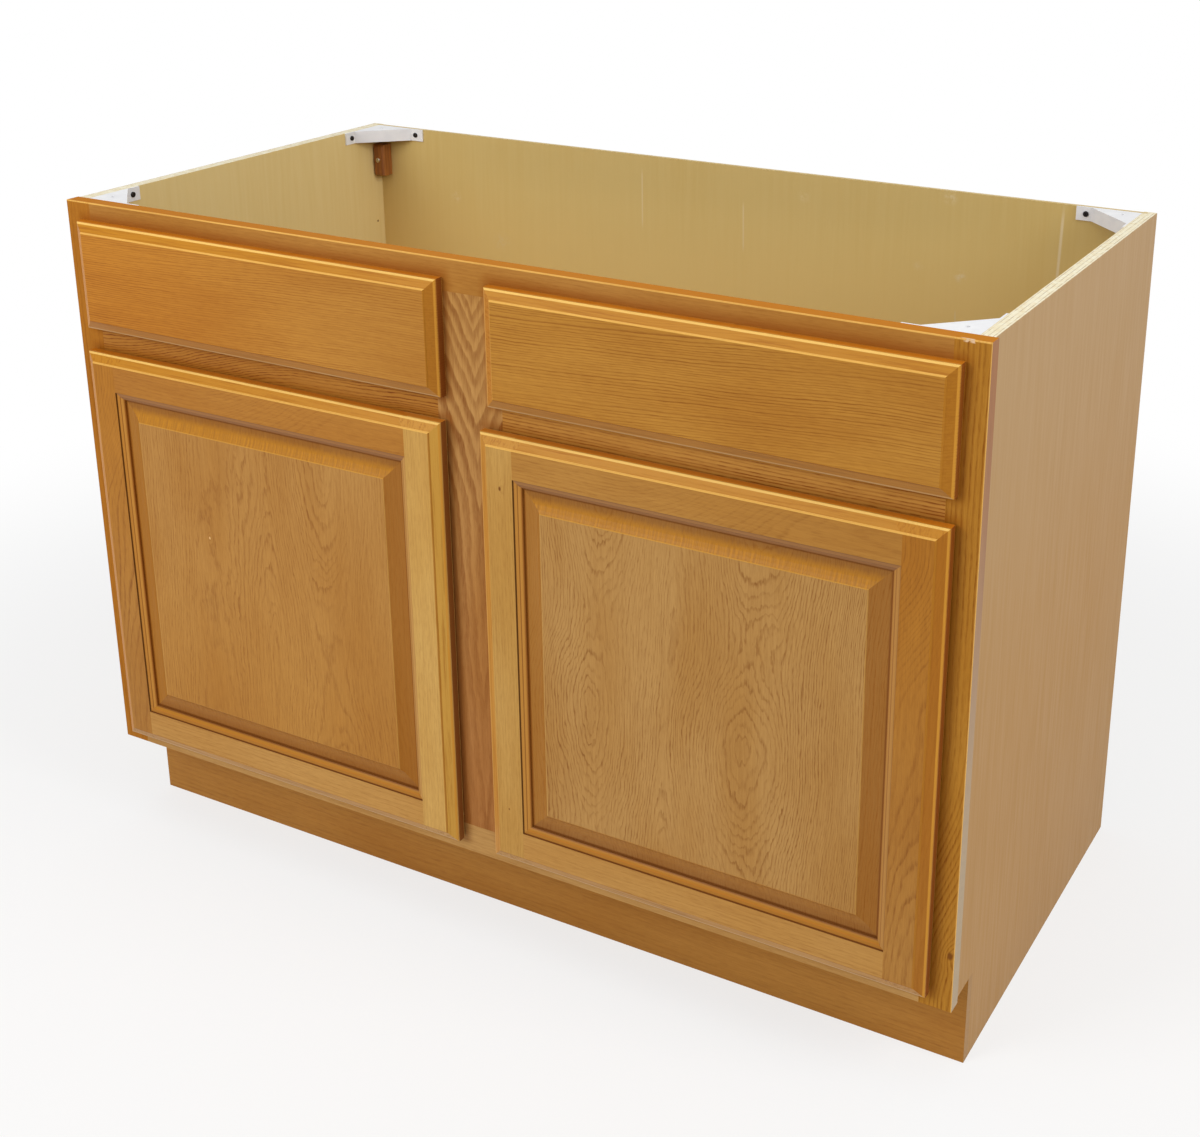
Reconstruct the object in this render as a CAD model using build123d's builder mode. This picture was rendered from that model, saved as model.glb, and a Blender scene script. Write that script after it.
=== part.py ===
from build123d import *
import os

# A ready-assembled sink base cabinet, 48 inches wide: a plywood box with an open top and a toe
# recess, a solid oak face frame, two false drawer fronts and two raised-panel doors on concealed
# hinges. X runs to the right, Y to the rear and Z up from the floor, all in millimetres. The
# origin is on the floor, midway between the two sides and midway from the doors to the rear.

os.makedirs("parts", exist_ok=True)
corner = (Align.MIN, Align.MIN, Align.MIN)

# ---- The box ----
cabinet_width = 1219.2
cabinet_height = 876.3
cabinet_depth = 609.6  # front of the face frame to the rear
side_thickness = 15.9
side_inset = 3.2  # the face frame overhangs each side by this much
floor_thickness = 12.7
back_thickness = 6.4
back_inset = 3.0  # from the back panel to the rear edge of the sides
housing_depth = 6.0  # how deep the floor and the back are let into the sides
toe_height = 114.3
toe_recess = 63.5
toe_board_thickness = 12.7
floor_cleat_thickness = 19.05
floor_cleat_height = 50.8

# ---- The face frame ----
frame_thickness = 19.05
stile_width = 38.1
centre_stile_width = 88.9
rail_height = 38.1  # top rail and bottom rail
mid_rail_height = 50.8
tenon_length = 12.7
tenon_thickness = 6.4
tenon_shoulder = 6.35

# ---- Doors and false fronts ----
front_thickness = 19.05
front_reveal = 25.4  # frame left showing outside each door and false front
front_spacing = 63.5  # frame left showing between the two false fronts
top_reveal = 22.2  # above the false fronts
bottom_reveal = 19.05  # below the doors
row_spacing = 28.6  # between a door and the false front above it
false_front_height = 139.7
right_door_extra = 9.5  # the right door is this much wider, on its free side
door_gap = 3.2  # closed door to face frame
# Routed outer edge, from the back: in from the outline, down from the face. Above a square
# edge comes a small round, then the bevel, which meets the face in a shallow dip.
edge_profile = (
    (0.0, front_thickness),
    (0.0, 9.5),
    (1.0, 7.6),
    (2.6, 6.4),
    (11.9, 1.6),
    (12.5, 0.5),
    (13.1, 0.0),
)

# ---- Frame-and-panel door joints ----
member_width = 57.15
sticking_width = 9.5  # moulded inner edge: a small step, then a quarter round
sticking_step = 1.5
sticking_depth = 5.5
groove_depth = 9.5
groove_width = 6.4
groove_back = 4.8  # door back to the groove
tongue_play = 0.1  # panel to groove, on each face
panel_play = 0.5  # panel to the bottom of the groove
# Coved border of the raised panel: in from the opening, out from the front of the tongue.
cove_profile = (
    (0.0, 0.0),
    (9.0, 0.7),
    (16.0, 2.1),
    (21.0, 3.9),
    (24.5, 5.9),
    (25.0, 6.5),
)

# ---- Concealed hinges, measured from the door's hinge edge and from its back face ----
hinge_inset = 88.9  # door end to the middle of the hinge
pin_point = (7.1, 8.2)
pin_radius = 1.25
pin_half_length = 9.5  # ends inside the cup's wall
pin_clearance = 0.05
eye_radius = 2.1
cup_radius = 17.5
cup_edge = 3.0  # wood left between the cup and the door's edge
cup_depth = 11.5
cup_wall = 0.8
flange_radius = 19.5
flange_thickness = 1.0
ear_radius = 6.0
ear_point = (9.5, 22.5)  # screw ear from the middle of the cup
arm_thickness = 1.6
arm_half_width = 5.0
# from the pin, bent so that the door opens to 105 degrees
arm_bends = ((13.5, 9.6), (18.5, 9.6), (22.5, 6.0), (22.5, -5.0), (18.0, -9.0), (13.7, -9.0))
plate_thickness = 2.0
plate_front = -6.0
plate_back = -20.0
plate_half_length = 19.0
plate_screw_offset = 12.7

# ---- Small parts ----
bumper_radius = 4.75
bumper_edge = 6.35  # bumper centre to the door's free edge
bumper_end = 31.75  # bumper centre to the door's end
bumper_clearance = 0.3
front_cleat_width = 38.1
front_cleat_thickness = 19.05
front_cleat_lap = 20.0  # over the rails above and below the opening
front_cleat_inset = 126.0  # cleat's middle to the end of the false front
brace_body = 65.0  # along each wall from the corner
brace_leg = 82.5  # the same, with the screw tab
brace_height = 17.5
brace_wall = 2.5
brace_boss = 20.0  # boss centre from each wall
boss_radius = 6.5
boss_bore = 2.6
brace_screw_end = 12.5  # screw to the end of the tab
block_width = 20.0
block_height = 48.0
block_drop = 26.3  # below the rim
block_chamfer = 3.0
head_radius = 3.6
head_height = 2.0
head_round = 0.9
shank_radius = 1.7
recess_length = 3.6
recess_width = 0.8
recess_depth = 1.1
# how far each screw's shank runs from under its head
side_screw_grip = 14.0
frame_screw_grip = 16.0
back_screw_grip = 8.0
block_screw_grip = 25.0
cup_screw_grip = 11.0
plate_screw_grip = 20.0
false_front_bite = 12.0  # of a false front's screw in the front itself
false_front_screw_inset = 30.0  # from the rail above or below the opening

# ---- Planes and faces that the pieces share ----
half_width = cabinet_width / 2
face_y = (door_gap + front_thickness - cabinet_depth) / 2
rear_y = face_y + cabinet_depth
frame_back = face_y + frame_thickness
side_outer = half_width - side_inset
side_inner = side_outer - side_thickness
back_rear = rear_y - back_inset
back_front = back_rear - back_thickness
floor_top = toe_height + rail_height
floor_under = floor_top - floor_thickness
toe_front = face_y + toe_recess
toe_rear = toe_front + toe_board_thickness
cleat_rear = toe_rear + floor_cleat_thickness
half_opening = half_width - stile_width
half_centre = centre_stile_width / 2
top_rail_bottom = cabinet_height - rail_height
front_width = (cabinet_width - 2 * front_reveal - front_spacing) / 2
false_front_x = half_width - front_reveal - front_width / 2
false_front_bottom = cabinet_height - top_reveal - false_front_height
door_top = false_front_bottom - row_spacing
door_bottom = toe_height + bottom_reveal
door_height = door_top - door_bottom
mid_rail_bottom = (door_top + false_front_bottom - mid_rail_height) / 2
mid_rail_top = mid_rail_bottom + mid_rail_height
front_cleat_bottom = mid_rail_top - front_cleat_lap
front_cleat_top = top_rail_bottom + front_cleat_lap
front_cleat_offset = front_width / 2 - front_cleat_inset
block_top = cabinet_height - block_drop
panel_half = side_inner + housing_depth
brace_bottom = cabinet_height - brace_height


def screw(seat, shank_length):
    """A pan-head cross-recess screw: head on the seat plane, shank running back from it."""
    with BuildPart() as piece:
        with BuildSketch(seat):
            Circle(head_radius)
        extrude(amount=head_height)
        fillet(piece.edges().sort_by(Axis(seat.origin, seat.z_dir))[-1], radius=head_round)
        with BuildSketch(seat):
            Circle(shank_radius)
        extrude(amount=-shank_length)
        with BuildSketch(seat.offset(head_height)):
            Rectangle(recess_length, recess_width)
            Rectangle(recess_width, recess_length)
        extrude(amount=-recess_depth, mode=Mode.SUBTRACT)
    return piece.part


def tenoned_rail(x_low, x_high, z_low, z_high):
    """A face-frame rail with a stub tenon on each end."""
    middle = Plane(
        origin=((x_low + x_high) / 2, face_y + frame_thickness / 2, (z_low + z_high) / 2),
        x_dir=(1, 0, 0),
        z_dir=(0, -1, 0),
    )
    length = x_high - x_low
    height = z_high - z_low
    with BuildPart() as rail:
        with BuildSketch(middle):
            Rectangle(length, height)
        extrude(amount=frame_thickness / 2, both=True)
        with BuildSketch(middle):
            Rectangle(length + 2 * tenon_length, height - 2 * tenon_shoulder)
        extrude(amount=tenon_thickness / 2, both=True)
    return rail.part


def routed_blank(middle, width, height):
    """A slab with its front edges routed, its back on the given plane."""
    with BuildPart() as blank:
        for inset, depth in edge_profile:
            with BuildSketch(middle.offset(front_thickness - depth)):
                Rectangle(width - 2 * inset, height - 2 * inset)
        loft(ruled=True)
    return blank.part


def member_section(plane):
    """A door stile or rail in section: outer edge at x = 0, back at y = 0, groove at the inside."""
    step_x = member_width - sticking_width
    step_y = front_thickness - sticking_step
    groove_front = groove_back + groove_width
    groove_x = member_width - groove_depth
    with BuildSketch(plane) as section:
        with BuildLine():
            Polyline(
                (member_width, groove_back),
                (member_width, 0),
                (0, 0),
                (0, front_thickness),
                (step_x, front_thickness),
                (step_x, step_y),
            )
            TangentArc(
                (step_x, step_y), (member_width, front_thickness - sticking_depth), tangent=(1, 0)
            )
            Polyline(
                (member_width, front_thickness - sticking_depth),
                (member_width, groove_front),
                (groove_x, groove_front),
                (groove_x, groove_back),
                (member_width, groove_back),
            )
        make_face()
    return section.sketch


# ================= Screws, made first so that they can drill the pieces they hold =============

# Each corner of the open top, as the directions from the corner into the cabinet.
brace_corners = {
    "front_left": (-side_inner, frame_back, 1, 1),
    "front_right": (side_inner, frame_back, -1, 1),
    "back_left": (-side_inner, back_front, 1, -1),
    "back_right": (side_inner, back_front, -1, -1),
}

with BuildPart() as brace_screws:
    reach = brace_leg - brace_screw_end
    height = brace_bottom + brace_height / 2
    for x, y, into_x, into_y in brace_corners.values():
        on_side = Plane(origin=(x + into_x * brace_wall, y + into_y * reach, height), z_dir=(into_x, 0, 0))
        on_end = Plane(origin=(x + into_x * reach, y + into_y * brace_wall, height), z_dir=(0, into_y, 0))
        add(screw(on_side, side_screw_grip))
        add(screw(on_end, frame_screw_grip if into_y > 0 else back_screw_grip))
brace_screws.part.label = "brace_screws"
export_step(brace_screws.part, "parts/brace_screws.step")

with BuildPart() as block_screws:
    for side in (-1, 1):
        x = side * (side_inner - block_width / 2)
        seat = Plane(origin=(x, back_front - block_width, block_top - block_height / 2), z_dir=(0, -1, 0))
        add(screw(seat, block_screw_grip))
block_screws.part.label = "block_screws"
export_step(block_screws.part, "parts/block_screws.step")

# The false fronts are pulled against the frame by upright cleats behind it, two for each front.
cleat_xs = [
    side * false_front_x + offset
    for side in (-1, 1)
    for offset in (-front_cleat_offset, front_cleat_offset)
]
false_front_grip = front_cleat_thickness + frame_thickness + false_front_bite
false_front_screw_z = (
    mid_rail_top + false_front_screw_inset,
    top_rail_bottom - false_front_screw_inset,
)
with BuildPart() as false_front_screws:
    for x in cleat_xs:
        for z in false_front_screw_z:
            seat = Plane(origin=(x, frame_back + front_cleat_thickness, z), z_dir=(0, 1, 0))
            add(screw(seat, false_front_grip))
false_front_screws.part.label = "false_front_screws"
export_step(false_front_screws.part, "parts/false_front_screws.step")

# ================= The plywood box =============================================================

with BuildPart() as bottom_panel:
    with Locations((-panel_half, frame_back, floor_under)):
        Box(2 * panel_half, back_front - frame_back, floor_thickness, align=corner)
bottom_panel.part.label = "bottom_panel"
export_step(bottom_panel.part, "parts/bottom_panel.step")

with BuildPart() as back_panel:
    with Locations((-panel_half, back_front, toe_height)):
        Box(2 * panel_half, back_thickness, cabinet_height - toe_height, align=corner)
    add(brace_screws.part, mode=Mode.SUBTRACT)
    add(block_screws.part, mode=Mode.SUBTRACT)
back_panel.part.label = "back_panel"
export_step(back_panel.part, "parts/back_panel.step")

# Each side has a toe notch, a housing for the floor and a groove for the back.
for name, side in (("left", -1), ("right", 1)):
    inner_face = Plane(origin=(side * side_inner, 0, 0), x_dir=(0, 1, 0), z_dir=(1, 0, 0))
    with BuildPart() as side_panel:
        with BuildSketch(inner_face):
            Polygon(
                (toe_rear, 0),
                (rear_y, 0),
                (rear_y, cabinet_height),
                (frame_back, cabinet_height),
                (frame_back, toe_height),
                (toe_rear, toe_height),
                align=None,
            )
        extrude(amount=side * side_thickness)
        add(bottom_panel.part, mode=Mode.SUBTRACT)
        add(back_panel.part, mode=Mode.SUBTRACT)
        add(brace_screws.part, mode=Mode.SUBTRACT)
    side_panel.part.label = f"{name}_side_panel"
    export_step(side_panel.part, f"parts/{name}_side_panel.step")

with BuildPart() as toe_board:
    with Locations((-side_outer, toe_front, 0)):
        Box(2 * side_outer, toe_board_thickness, toe_height, align=corner)
toe_board.part.label = "toe_board"
export_step(toe_board.part, "parts/toe_board.step")

with BuildPart() as floor_cleat:
    with Locations((-side_inner, toe_rear, floor_under - floor_cleat_height)):
        Box(2 * side_inner, floor_cleat_thickness, floor_cleat_height, align=corner)
floor_cleat.part.label = "floor_cleat"
export_step(floor_cleat.part, "parts/floor_cleat.step")

with BuildPart() as floor_support:
    with Locations((-side_thickness / 2, cleat_rear, 0)):
        Box(side_thickness, back_front - cleat_rear, floor_under, align=corner)
floor_support.part.label = "floor_support"
export_step(floor_support.part, "parts/floor_support.step")

# ================= The face frame ==============================================================

# The centre stile stands between the top and bottom rails, the middle rails between the stiles.
with BuildPart() as centre_stile:
    middle = Plane(
        origin=(0, face_y + frame_thickness / 2, (floor_top + top_rail_bottom) / 2),
        x_dir=(1, 0, 0),
        z_dir=(0, -1, 0),
    )
    with BuildSketch(middle):
        Rectangle(centre_stile_width, top_rail_bottom - floor_top)
    extrude(amount=frame_thickness / 2, both=True)
    with BuildSketch(middle):
        Rectangle(
            centre_stile_width - 2 * tenon_shoulder, top_rail_bottom - floor_top + 2 * tenon_length
        )
    extrude(amount=tenon_thickness / 2, both=True)
    for side in (-1, 1):
        add(
            tenoned_rail(
                *sorted((side * half_opening, side * half_centre)), mid_rail_bottom, mid_rail_top
            ),
            mode=Mode.SUBTRACT,
        )
centre_stile.part.label = "centre_stile"
export_step(centre_stile.part, "parts/centre_stile.step")

with BuildPart() as top_rail:
    add(tenoned_rail(-half_opening, half_opening, top_rail_bottom, cabinet_height))
    add(centre_stile.part, mode=Mode.SUBTRACT)
    add(brace_screws.part, mode=Mode.SUBTRACT)
top_rail.part.label = "top_rail"
export_step(top_rail.part, "parts/top_rail.step")

with BuildPart() as bottom_rail:
    add(tenoned_rail(-half_opening, half_opening, toe_height, floor_top))
    add(centre_stile.part, mode=Mode.SUBTRACT)
bottom_rail.part.label = "bottom_rail"
export_step(bottom_rail.part, "parts/bottom_rail.step")

mid_rails = {}
for name, side in (("left", -1), ("right", 1)):
    ends = sorted((side * half_opening, side * half_centre))
    with BuildPart() as mid_rail:
        add(tenoned_rail(*ends, mid_rail_bottom, mid_rail_top))
    mid_rail.part.label = f"{name}_mid_rail"
    export_step(mid_rail.part, f"parts/{name}_mid_rail.step")
    mid_rails[name] = mid_rail.part

# ================= False drawer fronts and their cleats ========================================

for name, side in (("left", -1), ("right", 1)):
    middle = Plane(
        origin=(side * false_front_x, face_y, false_front_bottom + false_front_height / 2),
        x_dir=(1, 0, 0),
        z_dir=(0, -1, 0),
    )
    with BuildPart() as false_front:
        add(routed_blank(middle, front_width, false_front_height))
        add(false_front_screws.part, mode=Mode.SUBTRACT)
    false_front.part.label = f"{name}_false_front"
    export_step(false_front.part, f"parts/{name}_false_front.step")

    with BuildPart() as front_cleats:
        for offset in (-front_cleat_offset, front_cleat_offset):
            x = side * false_front_x + offset - front_cleat_width / 2
            with Locations((x, frame_back, front_cleat_bottom)):
                Box(
                    front_cleat_width,
                    front_cleat_thickness,
                    front_cleat_top - front_cleat_bottom,
                    align=corner,
                )
        add(false_front_screws.part, mode=Mode.SUBTRACT)
    front_cleats.part.label = f"{name}_front_cleats"
    export_step(front_cleats.part, f"parts/{name}_front_cleats.step")

# ================= Doors, with their hinges ====================================================

door_back = face_y - door_gap
door_middle_z = door_bottom + door_height / 2
hinge_zs = {"lower": door_bottom + hinge_inset, "upper": door_top - hinge_inset}
cup_middle = cup_edge + cup_radius

for name, hinge_edge, inward, width in (
    ("left", front_reveal - half_width, 1, front_width),
    ("right", half_width - front_reveal, -1, front_width + right_door_extra),
):
    free_edge = hinge_edge + inward * width
    middle_x = (hinge_edge + free_edge) / 2
    middle = Plane(origin=(middle_x, door_back, door_middle_z), x_dir=(1, 0, 0), z_dir=(0, -1, 0))
    blank = routed_blank(middle, width, door_height)

    # Screws: two through each cup's ears, two through each mounting plate.
    with BuildPart() as cup_screws:
        for z in hinge_zs.values():
            for side in (-1, 1):
                x = hinge_edge + inward * (cup_middle + ear_point[0])
                seat = Plane(
                    origin=(x, door_back + flange_thickness, z + side * ear_point[1]), z_dir=(0, 1, 0)
                )
                add(screw(seat, cup_screw_grip))
    cup_screws.part.label = f"{name}_door_cup_screws"
    export_step(cup_screws.part, f"parts/{name}_door_cup_screws.step")

    with BuildPart() as plate_screws:
        for z in hinge_zs.values():
            for side in (-1, 1):
                x = hinge_edge + inward * (stile_width - front_reveal + plate_thickness)
                seat = Plane(
                    origin=(x, door_back - (plate_front + plate_back) / 2, z + side * plate_screw_offset),
                    z_dir=(inward, 0, 0),
                )
                add(screw(seat, plate_screw_grip))
    plate_screws.part.label = f"{name}_hinge_plate_screws"
    export_step(plate_screws.part, f"parts/{name}_hinge_plate_screws.step")

    for place, z in hinge_zs.items():
        # In this plane x runs inward from the door's hinge edge and y forward from its back.
        across = Plane(
            origin=(hinge_edge, door_back, z), x_dir=(inward, 0, 0), z_dir=(0, 0, -inward)
        )
        with BuildPart() as hinge_pin:
            with BuildSketch(across):
                with Locations(pin_point):
                    Circle(pin_radius)
            extrude(amount=pin_half_length, both=True)
        hinge_pin.part.label = f"{name}_{place}_hinge_pin"
        export_step(hinge_pin.part, f"parts/{name}_{place}_hinge_pin.step")

        with BuildPart() as hinge_cup:
            seat = Plane(
                origin=(hinge_edge + inward * cup_middle, door_back, z),
                x_dir=(inward, 0, 0),
                z_dir=(0, -1, 0),
            )
            with BuildSketch(seat):
                Circle(cup_radius)
            extrude(amount=cup_depth)
            with BuildSketch(seat):
                Circle(flange_radius)
                with Locations((ear_point[0], -ear_point[1]), ear_point):
                    Circle(ear_radius)
                make_hull()
            extrude(amount=-flange_thickness)
            with BuildSketch(seat.offset(-flange_thickness)):
                Circle(cup_radius - cup_wall)
            extrude(amount=flange_thickness + cup_depth - cup_wall, mode=Mode.SUBTRACT)
            add(hinge_pin.part, mode=Mode.SUBTRACT)
            add(cup_screws.part, mode=Mode.SUBTRACT)
        hinge_cup.part.label = f"{name}_{place}_hinge_cup"
        export_step(hinge_cup.part, f"parts/{name}_{place}_hinge_cup.step")

        # The cranked arm runs from the pin out of the cup and back to the plate on the stile.
        with BuildPart() as hinge_arm:
            bends = (pin_point,) + arm_bends
            with BuildSketch(across):
                for start, end in zip(bends, bends[1:]):
                    halfway = ((start[0] + end[0]) / 2, (start[1] + end[1]) / 2)
                    SlotCenterPoint(halfway, end, arm_thickness)
                with Locations(pin_point):
                    Circle(eye_radius)
                    Circle(pin_radius + pin_clearance, mode=Mode.SUBTRACT)
            extrude(amount=arm_half_width, both=True)
            with BuildSketch(across):
                with Locations((stile_width - front_reveal, plate_back)):
                    Rectangle(plate_thickness, plate_front - plate_back, align=(Align.MIN, Align.MIN))
            extrude(amount=plate_half_length, both=True)
            add(plate_screws.part, mode=Mode.SUBTRACT)
        hinge_arm.part.label = f"{name}_{place}_hinge_arm"
        export_step(hinge_arm.part, f"parts/{name}_{place}_hinge_arm.step")

    hinge_stile_edge = Plane(
        origin=(hinge_edge, door_back, door_middle_z), x_dir=(inward, 0, 0), z_dir=(0, 0, -inward)
    )
    free_stile_edge = Plane(
        origin=(free_edge, door_back, door_middle_z), x_dir=(-inward, 0, 0), z_dir=(0, 0, inward)
    )
    with BuildPart() as hinge_stile:
        extrude(member_section(hinge_stile_edge), amount=door_height / 2, both=True)
        add(blank, mode=Mode.INTERSECT)
        with BuildSketch(middle):
            for z in hinge_zs.values():
                with Locations((hinge_edge + inward * cup_middle - middle_x, z - door_middle_z)):
                    Circle(cup_radius)
        extrude(amount=cup_depth, mode=Mode.SUBTRACT)
        add(cup_screws.part, mode=Mode.SUBTRACT)
    hinge_stile.part.label = f"{name}_door_hinge_stile"
    export_step(hinge_stile.part, f"parts/{name}_door_hinge_stile.step")

    with BuildPart() as free_stile:
        extrude(member_section(free_stile_edge), amount=door_height / 2, both=True)
        add(blank, mode=Mode.INTERSECT)
    free_stile.part.label = f"{name}_door_free_stile"
    export_step(free_stile.part, f"parts/{name}_door_free_stile.step")

    # The rails are cut back by the stiles, which copes them over the moulded edges and leaves a
    # stub tongue at each end in the stiles' grooves.
    for place, z, up in (("top", door_top, -1), ("bottom", door_bottom, 1)):
        with BuildPart() as door_rail:
            edge = Plane(origin=(middle_x, door_back, z), x_dir=(0, 0, up), z_dir=(up, 0, 0))
            extrude(member_section(edge), amount=width / 2, both=True)
            for stile_edge in (hinge_stile_edge, free_stile_edge):
                stile = member_section(stile_edge)
                extrude(stile, amount=door_height / 2, both=True, mode=Mode.SUBTRACT)
            add(blank, mode=Mode.INTERSECT)
        door_rail.part.label = f"{name}_door_{place}_rail"
        export_step(door_rail.part, f"parts/{name}_door_{place}_rail.step")

    with BuildPart() as door_panel:
        tongue_back = groove_back + tongue_play
        tongue_front = groove_back + groove_width - tongue_play
        tongue_inset = member_width - groove_depth + panel_play
        opening_width = width - 2 * member_width
        opening_height = door_height - 2 * member_width
        with BuildSketch(middle.offset(tongue_back)):
            Rectangle(width - 2 * tongue_inset, door_height - 2 * tongue_inset)
        extrude(amount=tongue_front - tongue_back)
        for inset, rise in cove_profile:
            with BuildSketch(middle.offset(tongue_front + rise)):
                Rectangle(opening_width - 2 * inset, opening_height - 2 * inset)
        loft(ruled=True)
    door_panel.part.label = f"{name}_door_panel"
    export_step(door_panel.part, f"parts/{name}_door_panel.step")

    with BuildPart() as bumpers:
        with BuildSketch(middle):
            for side in (-1, 1):
                x = free_edge - inward * bumper_edge - middle_x
                with Locations((x, side * (door_height / 2 - bumper_end))):
                    Circle(bumper_radius)
        extrude(amount=bumper_clearance - door_gap)
    bumpers.part.label = f"{name}_door_bumpers"
    export_step(bumpers.part, f"parts/{name}_door_bumpers.step")

    # The frame's outer stile on this side takes the rails' tenons and the hinge plates' screws.
    with BuildPart() as outer_stile:
        outer_x = -half_width if inward > 0 else half_opening
        with Locations((outer_x, face_y, toe_height)):
            Box(stile_width, frame_thickness, cabinet_height - toe_height, align=corner)
        add(top_rail.part, mode=Mode.SUBTRACT)
        add(bottom_rail.part, mode=Mode.SUBTRACT)
        add(mid_rails[name], mode=Mode.SUBTRACT)
        add(plate_screws.part, mode=Mode.SUBTRACT)
    outer_stile.part.label = f"{name}_stile"
    export_step(outer_stile.part, f"parts/{name}_stile.step")

# ================= Corner braces and blocks under them =========================================

hollow = brace_body - brace_wall * (1 + 2**0.5)
for name, (corner_x, corner_y, into_x, into_y) in brace_corners.items():

    def at(along_x, along_y):
        """A point of this brace, measured from its corner along the two walls."""
        return (corner_x + into_x * along_x, corner_y + into_y * along_y)

    with BuildPart() as brace:
        with BuildSketch(Plane.XY.offset(brace_bottom)):
            Polygon(at(0, 0), at(brace_body, 0), at(0, brace_body), align=None)
            Polygon(
                at(brace_wall, brace_wall),
                at(hollow, brace_wall),
                at(brace_wall, hollow),
                align=None,
                mode=Mode.SUBTRACT,
            )
            Polygon(at(0, 0), at(brace_leg, 0), at(brace_leg, brace_wall), at(0, brace_wall), align=None)
            Polygon(at(0, 0), at(0, brace_leg), at(brace_wall, brace_leg), at(brace_wall, 0), align=None)
            with Locations(at(brace_boss, brace_boss)):
                Circle(boss_radius)
        extrude(amount=brace_height)
        with BuildSketch(Plane.XY.offset(cabinet_height - brace_wall)):
            Polygon(at(0, 0), at(brace_body, 0), at(0, brace_body), align=None)
        extrude(amount=brace_wall)
        with BuildSketch(Plane.XY.offset(brace_bottom)):
            with Locations(at(brace_boss, brace_boss)):
                Circle(boss_bore)
        extrude(amount=brace_height, mode=Mode.SUBTRACT)
        add(brace_screws.part, mode=Mode.SUBTRACT)
    brace.part.label = f"brace_{name}"
    export_step(brace.part, f"parts/brace_{name}.step")

for name, side in (("left", -1), ("right", 1)):
    with BuildPart() as corner_block:
        x = side * (side_inner - block_width / 2)
        with Locations((x, back_front - block_width / 2, block_top - block_height / 2)):
            Box(block_width, block_width, block_height)
        free_edges = corner_block.faces().sort_by(Axis.Y)[0].edges()
        chamfer(free_edges, length=block_chamfer)
        add(block_screws.part, mode=Mode.SUBTRACT)
    corner_block.part.label = f"corner_block_{name}"
    export_step(corner_block.part, f"parts/corner_block_{name}.step")
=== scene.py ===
# %% [markdown]
# # A sink base cabinet in varnished oak
# The solids come ready-made from CAD as a fixed frame. This lesson gives each board its own grain,
# adds the small things a joiner leaves behind, and sets up the light and the camera.
# We read the parts' CAD boxes first; the finishes take their places from them.

# %% Load the frame
import math
import bpy
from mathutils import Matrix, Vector


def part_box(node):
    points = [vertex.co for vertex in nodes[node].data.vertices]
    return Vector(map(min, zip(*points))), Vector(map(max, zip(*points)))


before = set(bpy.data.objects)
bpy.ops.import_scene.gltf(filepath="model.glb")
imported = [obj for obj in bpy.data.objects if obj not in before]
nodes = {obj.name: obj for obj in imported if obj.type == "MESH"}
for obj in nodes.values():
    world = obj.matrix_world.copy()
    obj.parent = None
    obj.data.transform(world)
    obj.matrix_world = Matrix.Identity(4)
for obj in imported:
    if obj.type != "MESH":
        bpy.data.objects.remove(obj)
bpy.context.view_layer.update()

# %% [markdown]
# ## The camera
# The photograph was taken from the right, above the rim, with the picture's middle well below the
# lens axis. A small shift of the lens keeps the uprights nearly upright, as in the photograph.

# %% Place the camera
CAMERA_PLACE = (1.1170, -1.8133, 1.3727)
CAMERA_TURN = (71.00, -0.315, 28.425)  # degrees about X, Y and Z
CAMERA_LENS = 52.59  # mm
CAMERA_SENSOR = 36.0  # mm wide
CAMERA_SHIFT = (-0.085, -0.15)  # shares of the picture's width

bpy.ops.object.camera_add(location=CAMERA_PLACE, rotation=[math.radians(a) for a in CAMERA_TURN])
camera = bpy.context.object
camera.name = "studio_camera"
camera.data.lens = CAMERA_LENS
camera.data.sensor_width = CAMERA_SENSOR
camera.data.shift_x, camera.data.shift_y = CAMERA_SHIFT
bpy.context.scene.camera = camera
bpy.context.scene.view_settings.view_transform = "Standard"
print("camera at", CAMERA_PLACE)

# %% [markdown]
# ## Colours
# Colours are written as a painter would read them off a screen, 0 to 255. The renderer works with
# linear light instead, so each is turned into that by the screen's own curve.


# %% From screen colours to linear ones
def linear(level):
    share = level / 255
    return ((share + 0.055) / 1.055) ** 2.4 if share > 0.04 else share / 12.92


def tone(red, green, blue):
    return (linear(red), linear(green), linear(blue), 1.0)


def shade(colour, factors):
    return tone(*(min(255, level * factor) for level, factor in zip(colour, factors)))


print("oak as written:", [round(v, 3) for v in tone(190, 128, 58)])

# %% [markdown]
# ## Helpers for finishes
# A finish is a small network of nodes. It could be wired by hand in the shader editor, but with some
# twenty boards of oak the recipe would be lost in the wires. One helper adds a node and wires or
# sets its sockets. The others are sums on top of it, so a recipe reads as a few lines of sums.


# %% Number helpers
def add(tree, kind, sockets, **settings):
    made = tree.nodes.new("ShaderNode" + kind)
    for name, value in settings.items():
        setattr(made, name, value)
    for name, value in sockets.items():
        if isinstance(value, bpy.types.NodeSocket):
            tree.links.new(value, made.inputs[name])
        else:
            made.inputs[name].default_value = value
    return made


def sum_of(tree, operation, a, b=0.0, c=0.0):
    return add(tree, "Math", {0: a, 1: b, 2: c}, operation=operation).outputs[0]


def times(tree, value, *factors):
    for factor in factors:
        value = sum_of(tree, "MULTIPLY", value, factor)
    return value


def times_plus(tree, value, factor, start):
    return sum_of(tree, "MULTIPLY_ADD", value, factor, start)


def minus(tree, value, other):
    return sum_of(tree, "SUBTRACT", value, other)


def fade(tree, value, start, end, low=0.0, high=1.0):
    """Goes smoothly from low to high while the value goes from start to end."""
    sockets = {0: value, 1: start, 2: end, 3: low, 4: high}
    return add(tree, "MapRange", sockets, interpolation_type="SMOOTHSTEP").outputs[0]


print("a recipe is written as sums")


# %% Helpers for places, noises and blends
def object_place(tree):
    return add(tree, "TexCoord", {}).outputs["Object"]


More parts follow.
